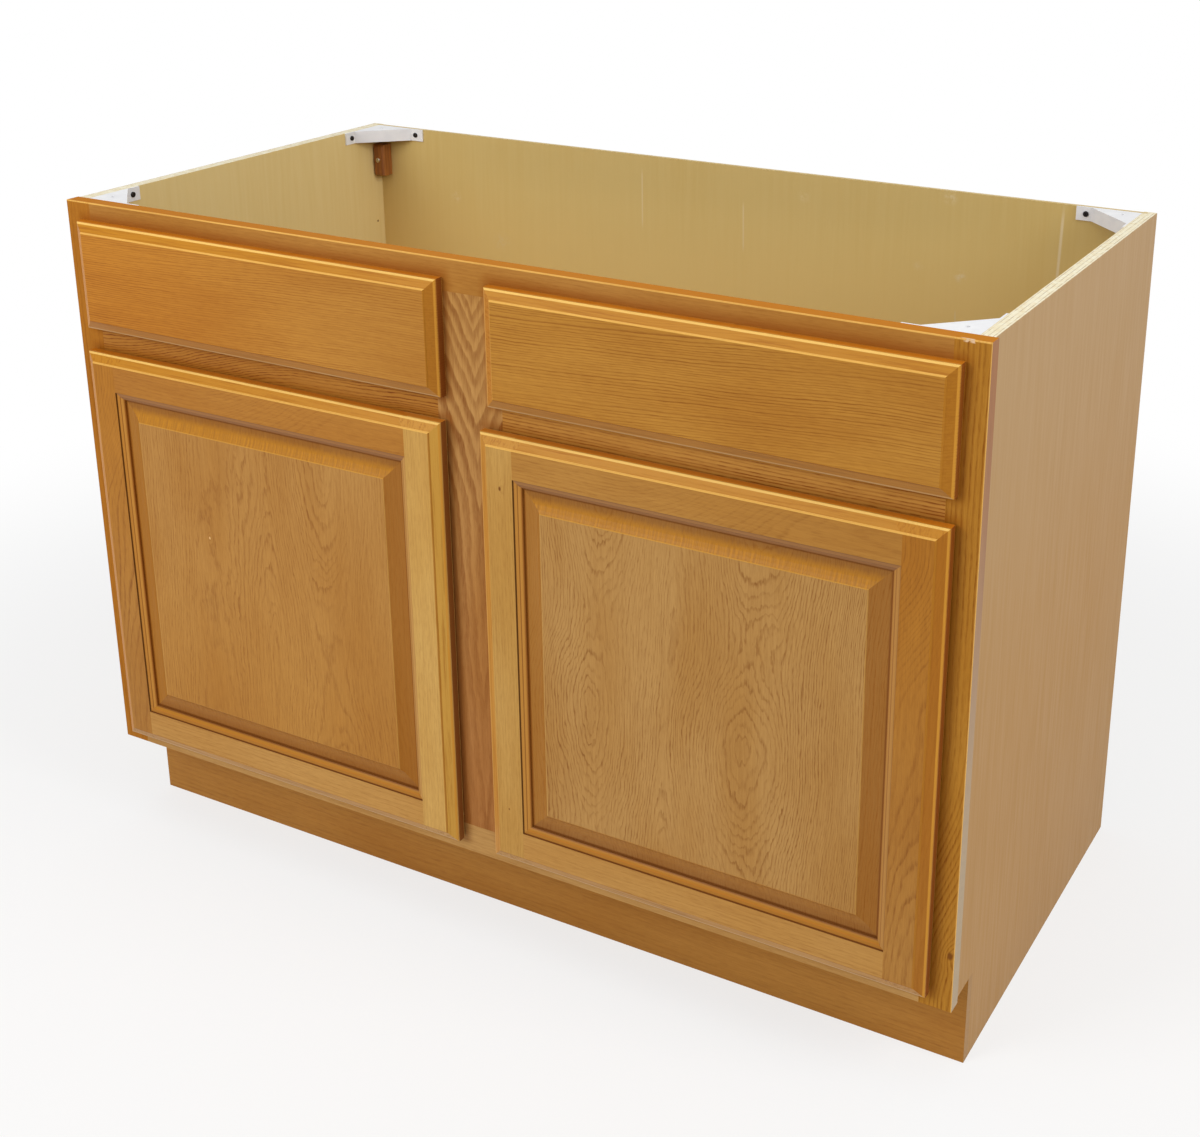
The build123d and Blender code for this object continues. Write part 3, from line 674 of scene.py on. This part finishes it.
# %% Dress the false fronts and the doors' members
oak("left_false_front", X, seed=8.1, colour=(184, 114, 32), far=(178, 118, 42), ring=0.003,
    piths=(((-0.25, 0.4, 0.02), (0.25, 0.42, 0.02)),), figure=0.8, ripples=1.0, broken=0.25,
    edges=front_edges(LEFT_FRONT, FALSE_BEVEL_TONE))
oak("right_false_front", X, seed=9.1, colour=(180, 120, 40), ring=0.0033, figure=0.85, ripples=1.0,
    piths=(((-0.28, -0.4, 0.02), (0.28, -0.37, 0.02)),), broken=0.25,
    edges=front_edges(RIGHT_FRONT, FALSE_BEVEL_TONE))
DARK_KNOT = (120, 72, 28)
KNOTS = ((0.215, 0.002, 0.0022, DARK_KNOT), (-0.2, 0.0, 0.0012, DARK_KNOT))
for members, count, bevel_tone, free_tone, rail_tone, spots in (
        (LEFT_DOOR, 10.0, BEVEL_TONE, (197, 147, 68), (172, 110, 38), ()),
        (RIGHT_DOOR, 20.0, RIGHT_BEVEL_TONE, (188, 138, 62), (176, 120, 48), KNOTS)):
    edges = front_edges(members, bevel_tone)
    oak(members[0], seed=count + 0.1, colour=(170, 114, 46), far=(170, 106, 30), figure=0.6,
        piths=(((-0.28, 0.02, 0.03), (0.05, 0.03, 0.05), (0.25, 0.12, 0.03)),), edges=edges)
    oak(members[1], seed=count + 0.2, colour=free_tone, figure=0.3, spots=spots, edges=edges,
        piths=(((0.0, -0.15, 0.03),),))
    oak(members[2], X, seed=count + 0.3, colour=rail_tone, figure=0.4, edges=edges,
        piths=(((-0.1, -0.1, 0.05), (0.2, 0.01, 0.03)),))
    oak(members[3], X, seed=count + 0.4, colour=(184, 130, 58), figure=0.35, edges=edges,
        piths=(((0.0, -0.06, 0.05),),))
print("false fronts and doors dressed")

# %% [markdown]
# ## The panels and the toe board
# The raised panels show two sets of rings side by side, as a panel glued up from two boards does,
# so each gets two piths. Where a pith comes nearer and dips again, the rings close into ovals. The
# toe board is plain, with paler ends where it was sawn.

# %% Dress the panels and the toe board
PALE_SPECK = (222, 178, 118)
CUT_END = tone(162, 120, 66)
oak("left_door_panel", seed=30.1, colour=(174, 116, 44), far=(176, 122, 54), ring=0.0032,
    piths=(((-0.24, 0.105, 0.045), (-0.08, 0.105, 0.058), (0.24, 0.095, 0.03)),
           ((-0.2, -0.1, 0.05), (0.2, -0.06, 0.06))),
    spots=((0.057, -0.09, 0.0016, PALE_SPECK),), figure=0.6, wander=0.04,
    ripples=2.5, edges=front_edges(LEFT_DOOR, BEVEL_TONE))
oak("right_door_panel", seed=31.1, colour=(176, 126, 60), ring=0.0027, figure=0.95, wander=0.04,
    ripples=3.0,
    piths=(((-0.2, -0.14, 0.050), (-0.03, -0.14, 0.030), (0.106, -0.125, 0.046), (0.24, -0.12, 0.03)),
           ((-0.22, 0.055, 0.056), (-0.04, 0.06, 0.030), (0.10, 0.065, 0.050), (0.24, 0.07, 0.036))),
    edges=front_edges(RIGHT_DOOR, BEVEL_TONE))


def paler_ends(tree, wood, fibres):
    half = around(["toe_board"])[1]
    reach = sum_of(tree, "ABSOLUTE", parts_of(tree, object_place(tree))[X])
    return blend(tree, sum_of(tree, "GREATER_THAN", reach, half[X] - 0.0004), wood, CUT_END)


oak("toe_board", X, seed=32.1, colour=(170, 112, 42), piths=(((0.0, 0.2, 0.05),),), ring=0.007,
    edges=paler_ends)
print("panels and toe board dressed")

# %% [markdown]
# ## Plywood
# Plywood is a stack: a thin face veneer, cross bands and a core. Written as a solid pattern that
# depends on the depth into the sheet, the faces show veneer and every cut edge shows its layers.

# %% The plywood recipe
SKIN = 0.0004  # metres, the face veneer
WAVE = 0.0008  # metres by which a layer wanders up and down
GLUE_WIDTH = (0.25, 0.12)  # shares of a layer
GLUE_GAPS = (0.35, 0.6, 0.15, 0.7)  # levels of the noise, and how dark the glue line is there
GLUE_LINE = tone(164, 140, 98)
PALE_CORE = ((246, 240, 214), (232, 216, 176))
RAW_CORE = ((216, 192, 134), (200, 172, 110))
VENEER_STREAKS = {"scale": 150.0, "detail": 4.0, "roughness": 0.7}
VENEER_CLOUDS = {"scale": 5.0, "detail": 2.0}
UNEVEN_LAYERS = {"scale": 60.0, "detail": 3.0, "roughness": 0.6}
STREAK_LENGTH, CLOUD_LENGTH = 0.04, 0.5  # the smaller, the longer along the grain
SHEET_GLOSS = (0.44, 0.56)
SHEET_RELIEF = 0.06


def plies(tree, board, layer, streaks, uneven, core):
    """The layers on a cut edge, with a broken glue line between them."""
    depth = sum_of(tree, "PINGPONG", times_plus(tree, uneven, WAVE, board[2]), layer)
    glue = times(tree, fade(tree, depth, *(layer * share for share in GLUE_WIDTH)),
                 fade(tree, uneven, *GLUE_GAPS))
    pale, deep = (tone(*colour) for colour in core)
    wood = blend(tree, fade(tree, streaks, *MIDDLE_LEVELS), pale, deep)
    return blend(tree, glue, wood, GLUE_LINE)


def plywood(node, along, into, faces, layer=0.0026, seed=1.0, core=PALE_CORE, marks=None):
    finish, tree, shader = new_finish("plywood_" + node, 0.5, 0.05, 0.3, specular=0.15)
    board = board_axes(tree, node, along, into)
    streaks = noise(tree, stretched(tree, board, STREAK_LENGTH), seed=seed, **VENEER_STREAKS)
    slow = stretched(tree, board, CLOUD_LENGTH)
    clouds = noise(tree, slow, seed=seed + 3, **VENEER_CLOUDS)
    clouds = fade(tree, clouds, *MIDDLE_LEVELS, 0.0, 0.6)
    uneven = noise(tree, slow, seed=seed + 5, **UNEVEN_LAYERS)
    skins = []
    for pale, deep in faces:
        face = blend(tree, fade(tree, streaks, 0.2, 0.8), tone(*pale), tone(*deep))
        skins.append(blend(tree, clouds, face, tone(*pale)))
    reach = float(around([node])[1][into])
    wood = plies(tree, board, layer, streaks, uneven, core)
    wood = blend(tree, sum_of(tree, "GREATER_THAN", board[2], reach - SKIN), wood, skins[1])
    wood = blend(tree, sum_of(tree, "LESS_THAN", board[2], SKIN - reach), wood, skins[0])
    if marks:
        wood = marks(tree, wood)
    gloss = fade(tree, streaks, *MIDDLE_LEVELS, *SHEET_GLOSS)
    wire(tree, shader, wood, gloss, streaks, SHEET_RELIEF)
    wear(node, finish)


print("plywood recipe ready")

# %% [markdown]
# ## Marks of use inside
# The varnished birch inside is not spotless: a pale line down the back where the sheet was taped,
# a few short scratches, scuffs, and one nail hole on the left. Each mark is a soft blot or a thin
# line at its own place, given in metres on the sheet.

# %% Lines and blots on a sheet
ON_FACE = 0.0005  # metres from a sheet's face within which a mark shows


def line_mark(tree, flat, start, end, width):
    """A thin line between two points of a sheet, faint towards its ends."""
    start, end = Vector((*start, 0)), Vector((*end, 0))
    run = end - start
    from_start = vector_sum(tree, "SUBTRACT", flat, start)
    along = vector_sum(tree, "DOT_PRODUCT", from_start, run / run.length_squared, out="Value")
    sideways = Vector((-run.y, run.x, 0)) / run.length
    aside = vector_sum(tree, "DOT_PRODUCT", from_start, sideways, out="Value")
    across = fade(tree, sum_of(tree, "ABSOLUTE", aside), width, width * 0.3)
    return times(tree, across, fade(tree, along, 0.0, 0.2), fade(tree, along, 1.0, 0.8))


def from_point(tree, flat, across, up):
    return vector_sum(tree, "DISTANCE", flat, (across, up, 0), out="Value")


print("a line mark fades over a fifth of its length at each end")

# %% Marks on the back
PALE_MARK = tone(226, 208, 168)
# painted light: a lighter band across the middle of the back's inner face
LIT_BACK_BIRCH = tone(241, 207, 132)
BACK_LINE = ((0.487, 0.70), (0.4915, 0.88), 0.0028)  # two ends and a width
SCRATCHES = (((-0.1237, 0.765), (-0.124, 0.862), 0.0016), ((0.039, 0.752), (0.038, 0.832), 0.0018),
             ((0.3545, 0.72), (0.356, 0.672), 0.0014), ((0.356, 0.672), (0.378, 0.642), 0.0014),
             ((0.39, 0.69), (0.43, 0.713), 0.0016))
# Across, up, radius and depth of each scuff
SCUFFS = ((0.359, 0.764, 0.012, 0.6), (0.340, 0.868, 0.014, 0.55), (0.13, 0.845, 0.012, 0.3),
          (0.30, 0.77, 0.010, 0.25), (-0.45, 0.78, 0.013, 0.4), (-0.37, 0.72, 0.02, 0.25))
LINE_SHARE, SCRATCH_SHARE = 0.75, 0.45
GRIT = {"scale": 120.0, "seed": 9.0, "detail": 3.0, "roughness": 0.7}
GRIT_LEVELS = (0.4, 0.6)
# the painted lighter band lies between these heights
LIT_BAND_TOP, LIT_BAND_FOOT = (0.86, 0.62), (0.40, 0.60)  # metres up, where the paler birch sets in


def back_marks_and_lit_band(tree, wood):
    split = parts_of(tree, object_place(tree))
    flat = joined(tree, split[X], split[Z])
    inner = sum_of(tree, "LESS_THAN", split[Y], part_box("back_panel")[0][Y] + ON_FACE)
    # painted light: the lighter band on the inner face
    lit_band = times(tree, fade(tree, split[Z], *LIT_BAND_TOP), fade(tree, split[Z], *LIT_BAND_FOOT), inner)
    wood = blend(tree, lit_band, wood, LIT_BACK_BIRCH)
    grit = fade(tree, noise(tree, flat, **GRIT), *GRIT_LEVELS)
    shares = [times(tree, line_mark(tree, flat, *BACK_LINE), LINE_SHARE)]
    shares += [times(tree, line_mark(tree, flat, *scratch), SCRATCH_SHARE) for scratch in SCRATCHES]
    shares += [times(tree, fade(tree, from_point(tree, flat, x, z), size, 0.0, 0.0, depth), grit)
               for x, z, size, depth in SCUFFS]
    strongest = shares[0]
    for share in shares[1:]:
        strongest = sum_of(tree, "MAXIMUM", strongest, share)
    return blend(tree, times(tree, strongest, inner), wood, PALE_MARK)


print("scratches and scuffs:", len(SCRATCHES), len(SCUFFS))

# %% Marks on the sides
GREYED = tone(168, 140, 100)
GREYED_HEIGHTS = (0.35, 0.95, 0.0, 0.6)  # metres up, and the share of grey there
NAIL_HOLE = (0.2905, 0.729, 0.0022)  # metres from the middle to the rear, up, and its radius
NAIL_SHADE = tone(120, 80, 40)


def greyed_top(tree, wood):
    split = parts_of(tree, object_place(tree))
    outer = sum_of(tree, "GREATER_THAN", split[X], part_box("right_side_panel")[1][X] - ON_FACE)
    share = times(tree, fade(tree, split[Z], *GREYED_HEIGHTS), outer)
    return blend(tree, share, wood, GREYED)


def nail_mark(tree, wood):
    y, z, radius = NAIL_HOLE
    split = parts_of(tree, object_place(tree))
    away = from_point(tree, joined(tree, split[Y], split[Z]), y, z)
    inner = sum_of(tree, "GREATER_THAN", split[X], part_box("left_side_panel")[1][X] - ON_FACE)
    return blend(tree, times(tree, fade(tree, away, radius, radius * 0.6), inner), wood, NAIL_SHADE)


print("nail hole at", NAIL_HOLE[:2])

# %% [markdown]
# ## The sheets
# Inside, the sides and the back are varnished birch, and the left side's inner face gets a lighter
# copy of it as painted light. Outside, the sides have an oak-coloured laminate, and the back and the
# underside are raw.

# %% Dress the sheets
BIRCH = ((207, 181, 117), (202, 173, 105))
# painted light: the birch lightened for the left side's inner face
LIT_BIRCH = ((229, 205, 144), (223, 195, 129))
LAMINATE = ((171, 128, 70), (165, 121, 60))
RAW_PLY = ((214, 190, 142), (196, 166, 112))
plywood("left_side_panel", Z, X, (LAMINATE, LIT_BIRCH), seed=41.0, marks=nail_mark)
plywood("right_side_panel", Z, X, (BIRCH, LAMINATE), seed=42.0, marks=greyed_top)
plywood("back_panel", Z, Y, (BIRCH, RAW_PLY), layer=0.0021, seed=43.0, core=RAW_CORE,
        marks=back_marks_and_lit_band)
plywood("bottom_panel", X, Z, (RAW_PLY, BIRCH), layer=0.0025, seed=44.0)
print("sheets dressed")

# %% [markdown]
# ## Plain woods inside
# The cleats are bare poplar, the corner blocks were stained with the frame. They are hardly seen,
# so the recipe is short: straight streaks of two shades along the piece.

# %% Dress the plain woods
POPLAR = ((216, 196, 150), (192, 166, 116))
STAINED_BLOCK = ((168, 102, 36), (128, 72, 22))
PLAIN_STREAKS = {"scale": 220.0, "detail": 3.0, "roughness": 0.6}
PLAIN_LENGTH = 0.06  # the smaller, the longer along the grain
PLAIN_GLOSS = (0.52, 0.68)


def plain_wood(node, along, tones, seed, coat=0.0):
    finish, tree, shader = new_finish("wood_" + node, 0.6, coat=coat)
    board = board_axes(tree, node, along, Y if along != Y else Z)
    streaks = noise(tree, stretched(tree, board, PLAIN_LENGTH), seed=seed, **PLAIN_STREAKS)
    pale, deep = (tone(*colour) for colour in tones)
    wood = blend(tree, fade(tree, streaks, *MIDDLE_LEVELS), pale, deep)
    wire(tree, shader, wood, fade(tree, streaks, *MIDDLE_LEVELS, *PLAIN_GLOSS), streaks, 0.2)
    wear(node, finish)


plain_wood("floor_cleat", X, POPLAR, seed=51.0)
plain_wood("floor_support", Y, POPLAR, seed=52.0)
plain_wood("left_front_cleats", Z, POPLAR, seed=53.0)
plain_wood("right_front_cleats", Z, POPLAR, seed=54.0)
plain_wood("corner_block_left", Z, STAINED_BLOCK, seed=55.0, coat=0.2)
plain_wood("corner_block_right", Z, STAINED_BLOCK, seed=56.0, coat=0.2)
print("plain woods dressed")

# %% [markdown]
# ## Plastic and metal
# The braces are moulded in white plastic with a faintly uneven skin. Screws are blackened or zinc
# plated, hinges are nickel plated: bare metal shows itself by uneven gloss, not by colour.

# %% Plastic and metal recipes
SKIN_RELIEF = 0.0002  # metres
MOTTLE_SEED, MOTTLE_DETAIL = 7.0, 3.0


def mottled(name, tones, roughness, spread, scale, metallic=0.0, dent=0.1):
    """Two shades in soft spots, whose gloss goes up and down by the spread."""
    finish, tree, shader = new_finish(name, roughness, metallic=metallic)
    mottle = noise(tree, object_place(tree), scale, MOTTLE_SEED, MOTTLE_DETAIL)
    pale, deep = (tone(*colour) for colour in tones)
    colour = blend(tree, fade(tree, mottle, *MIDDLE_LEVELS), pale, deep)
    gloss = fade(tree, mottle, *MIDDLE_LEVELS, roughness - spread, roughness + spread)
    wire(tree, shader, colour, gloss, mottle, dent, depth=SKIN_RELIEF)
    return finish


brace_white = mottled("brace_white_plastic", ((236, 236, 237), (229, 229, 231)), 0.42, 0.04, 60.0,
                      dent=0.04)
black_steel = mottled("blackened_steel", ((46, 40, 38), (30, 26, 26)), 0.45, 0.1, 900.0,
                      metallic=0.6)
zinc = mottled("zinc_plate", ((214, 206, 186), (186, 178, 160)), 0.32, 0.08, 600.0, metallic=1.0)
nickel = mottled("nickel_plate", ((208, 206, 202), (190, 188, 186)), 0.26, 0.06, 300.0,
                 metallic=1.0)
bumper_brown = mottled("bumper_soft_plastic", ((158, 116, 72), (144, 104, 62)), 0.35, 0.05, 400.0)
print("recipes:", brace_white.name, black_steel.name, zinc.name, nickel.name, bumper_brown.name)

# %% Dress the braces, screws, hinges and bumpers
for node in nodes:
    if node.startswith("brace_") and node != "brace_screws":
        wear(node, brace_white)
    elif "bumpers" in node:
        wear(node, bumper_brown)
    elif node == "brace_screws":
        wear(node, black_steel)
    elif node.endswith("_screws"):
        wear(node, zinc)
    elif "_hinge_" in node and "stile" not in node:
        wear(node, nickel)
print("undressed:", [n for n in nodes if not nodes[n].data.materials])

# %% [markdown]
# ## Floor, backdrop and light
# The photograph has a plain white ground. The floor shows the camera mostly plain white and lets a
# little of its real shading through, so that the cabinet still casts a soft shadow on it. The light
# is a large window above and to the left, a wide soft box over the open top, another to the right
# and the bright room.

# %% The white floor
FLOOR_SIZE = 40.0  # metres
FLOOR_TONE = (0.85, 0.85, 0.85, 1.0)
WHITE = (1.0, 1.0, 1.0, 1.0)
SHADOW_SHARE = 0.3  # how much of the floor's own shading shows near the cabinet
SHADOW_REACH = (1.0, 2.0)  # metres over which that share fades out


def looked_at(tree):
    """1 for what the camera sees, also in a glossy or clear surface, and 0 for light that falls."""
    path = add(tree, "LightPath", {}).outputs
    return sum_of(tree, "MAXIMUM", path["Is Camera Ray"],
                  sum_of(tree, "MAXIMUM", path["Is Glossy Ray"], path["Is Transmission Ray"]))


def floor_white():
    finish, tree, shader = new_finish("floor_white", 0.9, coat_roughness=0.03, specular=0.0)
    shader.inputs["Base Color"].default_value = FLOOR_TONE
    white = add(tree, "Emission", {"Color": WHITE, "Strength": 1.0}).outputs[0]
    away = vector_sum(tree, "LENGTH", object_place(tree), out="Value")
    share = times(tree, looked_at(tree), fade(tree, away, *SHADOW_REACH, 1.0 - SHADOW_SHARE, 1.0))
    mixed = add(tree, "MixShader", {0: share, 1: shader.outputs[0], 2: white}).outputs[0]
    tree.links.new(mixed, tree.nodes["Material Output"].inputs["Surface"])
    return finish


bpy.ops.object.select_all(action="DESELECT")
bpy.ops.mesh.primitive_plane_add(size=FLOOR_SIZE, location=(0, 0, 0))
floor = bpy.context.object
floor.name = "studio_floor"
floor.data.materials.append(floor_white())
print("floor", FLOOR_SIZE, "m wide")

# %% The bright room
ROOM_STRENGTH = 0.5  # as light on the cabinet; to the camera the room is plain white, 1
world = bpy.data.worlds.new("studio_room")
bpy.context.scene.world = world
world.use_nodes = True
room = world.node_tree
room_light = room.nodes["Background"]
room_light.inputs["Color"].default_value = WHITE
room.links.new(fade(room, looked_at(room), 0.0, 1.0, ROOM_STRENGTH, 1.0), room_light.inputs["Strength"])
print("room strength", ROOM_STRENGTH)


# %% Lamps
def soft_box(name, place, aim, size, watts):
    bpy.ops.object.light_add(type="AREA", location=place)
    lamp = bpy.context.object
    lamp.name = name
    lamp.data.shape = "RECTANGLE"
    lamp.data.size, lamp.data.size_y = size
    lamp.data.energy = watts
    direction = lamp.location - Vector(aim)
    lamp.rotation_euler = direction.to_track_quat("Z", "Y").to_euler()


soft_box("window_left", (-1.4, -3.0, 2.1), (0, 0, 0.45), (1.8, 1.8), 58.0)
soft_box("soft_box_above", (-0.2, -0.5, 3.0), (0, 0.1, 0.5), (2.6, 1.6), 8.0)
soft_box("soft_box_right", (2.9, -0.4, 2.3), (0, 0, 0.6), (1.6, 1.6), 46.0)
